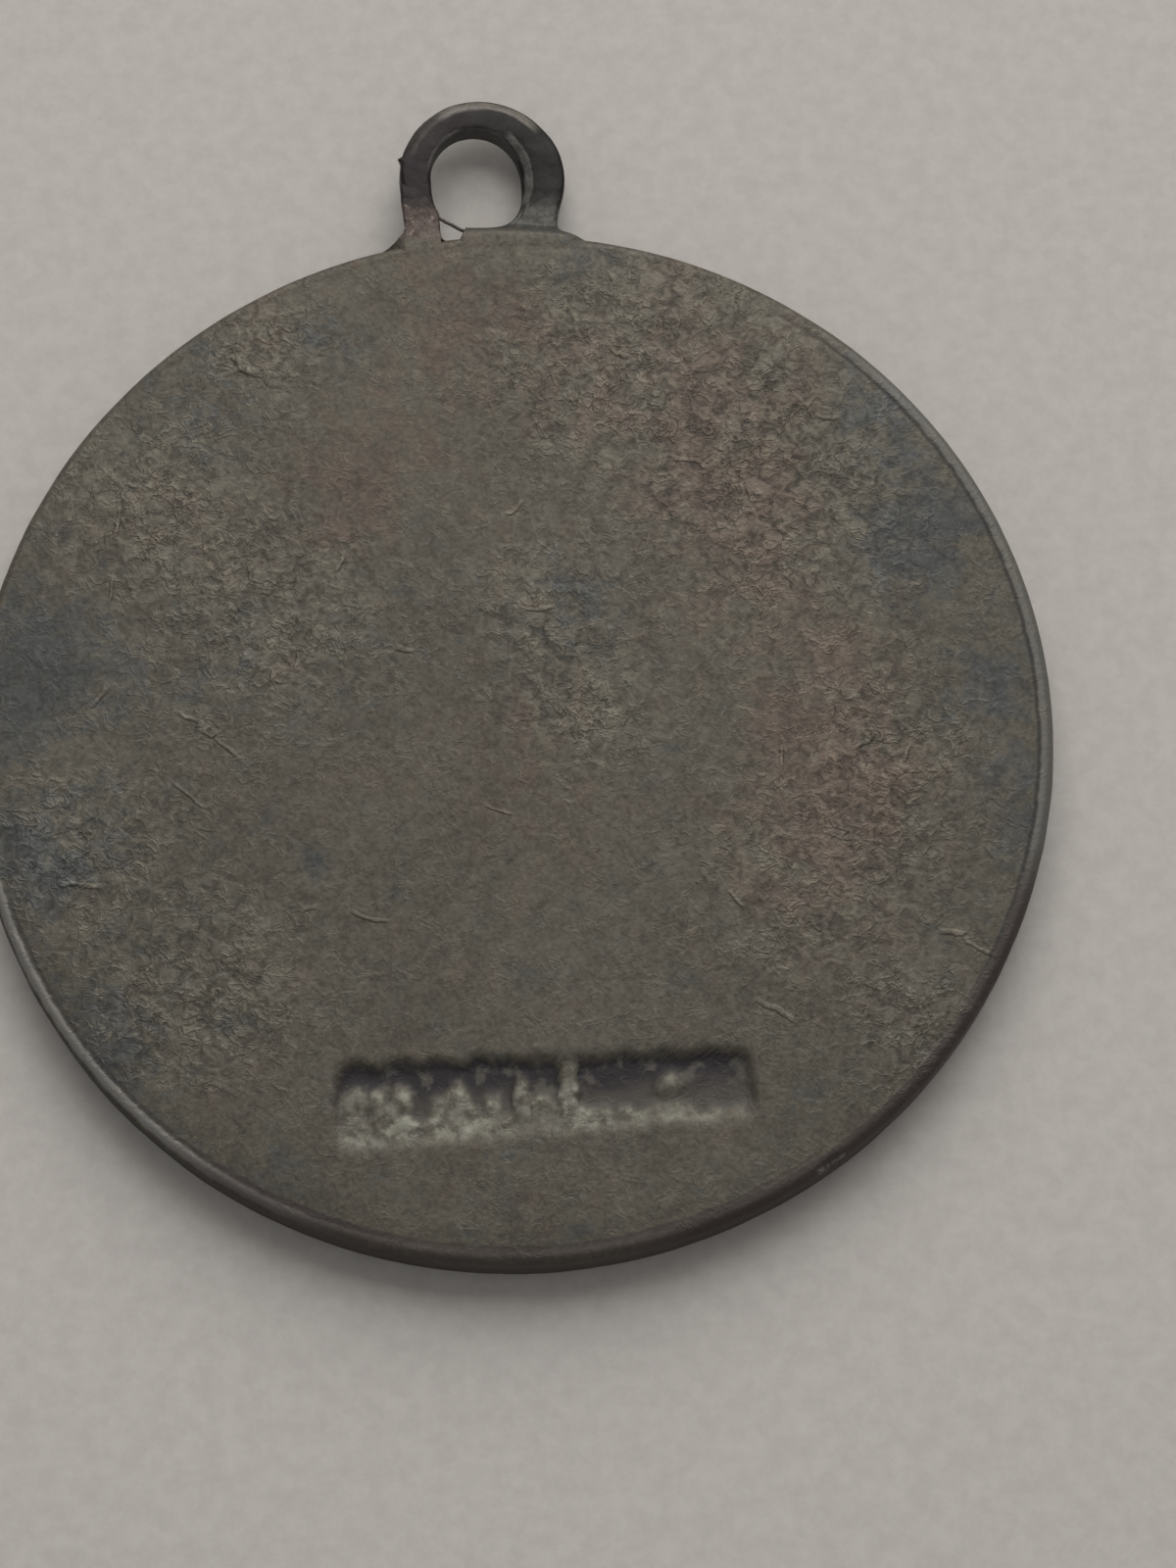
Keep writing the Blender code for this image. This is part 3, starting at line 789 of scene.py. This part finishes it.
def tube(path, radius, sides):
    """A thin round bar with closed ends along a level path. Returns its points and faces."""
    ahead = np.gradient(path, axis=0)
    ahead /= np.linalg.norm(ahead, axis=1, keepdims=True)
    beside = np.stack([-ahead[:, 1], ahead[:, 0], np.zeros(len(path))], 1)
    turn = np.linspace(0, 2 * np.pi, sides, endpoint=False)
    up = np.array([0, 0, 1])
    points = [middle + radius * (math.cos(angle) * aside + math.sin(angle) * up)
              for middle, aside in zip(path, beside) for angle in turn]
    faces = []
    for row in range(len(path) - 1):
        for side in range(sides):
            here, there = row * sides + side, row * sides + (side + 1) % sides
            faces.append([here, there, there + sides, here + sides])
    faces.append(list(range(sides))[::-1])
    faces.append([(len(path) - 1) * sides + side for side in range(sides)])
    return np.array(points), faces


def joint_material(name):
    """Blackened metal above, tarnished solder below, and the reverse's patina at the disc's edge, with
    painted highlights on the ring and in its hole.
    """
    m = Shader(name, METALLIC)
    local = m.vector("SUBTRACT", m.place, (RING_SHIFT, RING_Y, 0))
    across, up = m.axis(local, "X"), m.axis(local, "Y")
    blotch = m.noise(1.8, 4, 0.6)
    grain = m.noise(6.0, 3, 0.65, 0.5)
    shaded = m.mix(m.ramp(across, -1.2, 1.4), BLACK_LEFT, BLACK_RIGHT)
    ring_squash = RING_HALF_WIDTH / RING_HALF_HEIGHT
    hole_squash = HOLE_HALF_WIDTH / HOLE_HALF_HEIGHT
    # Painted highlights on the ring's bevels and painted bounce light inside its hole.
    rounds = (((0, 0, 0), ring_squash, RING_HIGHLIGHTS), ((*HOLE, 0), hole_squash, HOLE_PAINTED_LIGHT))
    for centre, squash, painted_lights in rounds:
        flat = m.vector("MULTIPLY", m.vector("SUBTRACT", local, centre), (1, squash, 0))
        far = m.math("MULTIPLY_ADD", m.noise(2.2, 2), 0.1, m.vector("LENGTH", flat))
        far = m.math("SUBTRACT", far, 0.05)
        for angle, spread, start, end, strength, tone in painted_lights:
            place = m.product(m.sector(flat, angle, spread), m.band(far, start, end, 0.04), strength)
            shaded = m.mix(place, shaded, tone)

    foot = m.math("MULTIPLY_ADD", blotch, 1.0, up)
    left = m.mix(m.ramp(grain, 0.3, 0.7), BROWN_DARK, BROWN_PALE)
    left = m.mix(m.ramp(m.noise(5.0, 2, 0.6, 0.5), 0.58, 0.66), left, BROWN_SPECK)
    left = m.mix(m.band(foot, -0.52, -0.34, 0.06), left, BROWN_LINE)
    right = m.mix(m.ramp(grain, 0.3, 0.7), GREY_DARK, GREY_PALE)
    solder = m.mix(m.ramp(across, -1.5, -0.5), left, right)
    reach = m.mix(m.ramp(across, -0.6, 0.6), m.ramp(foot, -0.30, -0.40), m.ramp(foot, 0.05, -1.0))
    shaded = m.mix(reach, shaded, solder)
    level = m.ramp(blotch, 0.3, 0.7, 0.8, 1.2)
    level = m.math("MULTIPLY_ADD", m.math("SUBTRACT", grain, 0.5), 0.8, level)
    shaded = m.mix(1.0, shaded, level, "MULTIPLY")

    skin, relief = patina(m)
    out = m.math("MULTIPLY_ADD", blotch, 0.5, m.vector("LENGTH", m.from_disc_middle()))
    on_disc = m.ramp(out, RADIUS + 0.52, RADIUS + 0.16)
    m.put(m.surface.inputs["Base Color"], m.mix(on_disc, shaded, skin))
    bare = m.ramp(blotch, 0.3, 0.7, 0.45, 0.6)
    m.put(m.surface.inputs["Roughness"], m.ramp(on_disc, 0, 1, bare, 0.57))
    dull = m.product(m.math("ADD", grain, blotch), m.ramp(on_disc, 0, 1, 0.2, 0))
    m.bump(m.math("MULTIPLY_ADD", relief, on_disc, dull), BUMP_ON_JOINT)
    return m.material


def solid_from_outline(name, outline, low, high):
    """A block with this outline, remeshed into soft, even faces. Millimetres."""
    count = len(outline)
    points = [(x, y, z) for z in (low, high) for x, y in outline]
    faces = [list(range(count))[::-1], list(range(count, 2 * count))]
    faces += [[i, (i + 1) % count, (i + 1) % count + count, i + count] for i in range(count)]
    mesh = bpy.data.meshes.new(name)
    mesh.from_pydata(points, [], faces)
    block = bpy.data.objects.new(name + "_block", mesh)
    bpy.context.scene.collection.objects.link(block)
    remesh = block.modifiers.new("Remesh", "REMESH")
    remesh.mode = "VOXEL"
    remesh.voxel_size = SOLDER_CELL
    soften = block.modifiers.new("Smooth", "SMOOTH")
    soften.factor = 0.5
    soften.iterations = 6
    bpy.context.view_layer.update()
    graph = bpy.context.evaluated_depsgraph_get()
    made = bpy.data.meshes.new_from_object(block.evaluated_get(graph))
    bpy.data.objects.remove(block)
    made.name = name
    return made


# The solder's outlines, from the ring's centre: down the leg, out along the disc's edge, and back
# inside. Then the block's back and front, and the size of the cells it is remeshed into.
LEFT_SOLDER = (
    (-2.30, 0.10), (-2.38, -0.35), (-2.37, -0.80), (-2.32, -1.34), (-2.30, -1.62), (-2.36, -1.86),
    (-2.56, -2.06), (-2.84, -2.22), (-3.20, -2.40), (-3.0, -2.65), (-1.26, -2.62), (-1.30, -1.20),
    (-1.50, -0.80), (-2.0, -0.20),
)
RIGHT_SOLDER = (
    (2.27, -0.60), (2.16, -1.09), (2.10, -1.50), (2.14, -1.72), (2.28, -1.91), (2.54, -2.07),
    (3.20, -2.40), (2.9, -2.62), (-0.60, -2.62), (-0.66, -1.98), (-0.58, -1.80), (-0.30, -1.76),
    (0.30, -1.74), (0.78, -1.64), (1.06, -1.36), (1.20, -0.95), (1.70, -0.50),
)
SOLDER_BACK = -0.31
SOLDER_FRONT = 0.38
SOLDER_CELL = 0.05


def make_solder(name, outline, node, top, seed):
    """Solder that lies over a leg's foot, thins out towards its top, and laps onto the disc."""
    mesh = solid_from_outline(name, outline, SOLDER_BACK, SOLDER_FRONT)
    points = np.empty(len(mesh.vertices) * 3)
    mesh.vertices.foreach_get("co", points)
    x, y, z = points.reshape(-1, 3).T
    front = ease(-0.1, 0.25, z)
    swell = 0.02 * wander(x + 5 * z, y, 0.5, seed) + 0.012 * wander(x, y + 5 * z, 0.2, seed + 1)
    z = z + (swell - 0.12 * ease(top - 0.8, top, y)) * front - x * math.sin(RING_TWIST)
    x = x * (1 + 0.3 * swell) + RING_SHIFT
    z = lap_on_disc(x, y, z, front)
    mesh.vertices.foreach_set("co", np.stack([x, y + RING_Y, z + RING_Z], 1).ravel())
    set_patina(mesh, x, y + RING_Y - DISC_Y)
    return finish_piece(name, mesh, joint_material(name + "_metal"), node)


# ---------------------------------------------------------------- the whole medal

make_camera()
make_light()
make_floor()
make_disc()
make_eyelet()
make_solder("solder_left", LEFT_SOLDER, "solder_fillet_left", 0.1, 51)
make_solder("solder_right", RIGHT_SOLDER, "solder_fillet_right", -0.5, 61)
